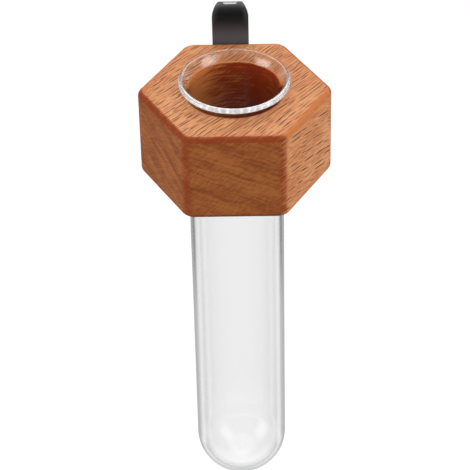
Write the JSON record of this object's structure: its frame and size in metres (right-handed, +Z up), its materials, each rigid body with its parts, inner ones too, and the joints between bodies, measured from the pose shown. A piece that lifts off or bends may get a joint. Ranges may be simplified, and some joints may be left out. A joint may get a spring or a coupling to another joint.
{
  "type": "car vent vase",
  "caption": "Small bud vase for a car's air vent: a clear glass tube hangs by its lip in a bored six-sided wooden block with a black spring clip on the back.",
  "frame": {"origin": "the seat inside the clip's hook, midway between its two legs, where the edge of a vent louver bears", "axes": "+Z up along the tube, +Y towards the vent, -Y the front of the block, +X to the right seen from the front"},
  "size_m": [0.0496, 0.0513, 0.1404],
  "materials": {
    "wood": "reddish hardwood, sanded and lightly oiled, short dark pores along the grain",
    "glass": "clear, polished",
    "black_steel": "satin black coating on spring steel",
    "screw_steel": "black oxide, slightly glossy"
  },
  "bodies": {
    "block": {"wood_block": "wood", "vent_clip": "black_steel", "clip_screw_upper": "screw_steel", "clip_screw_lower": "screw_steel"},
    "tube": {"glass_tube": "glass"}
  },
  "joints": [
    {"name": "tube_lift", "type": "slide", "parent": "block", "child": "tube", "axis": [0, 0, 1], "range_m": [0, 0.135]}
  ]
}
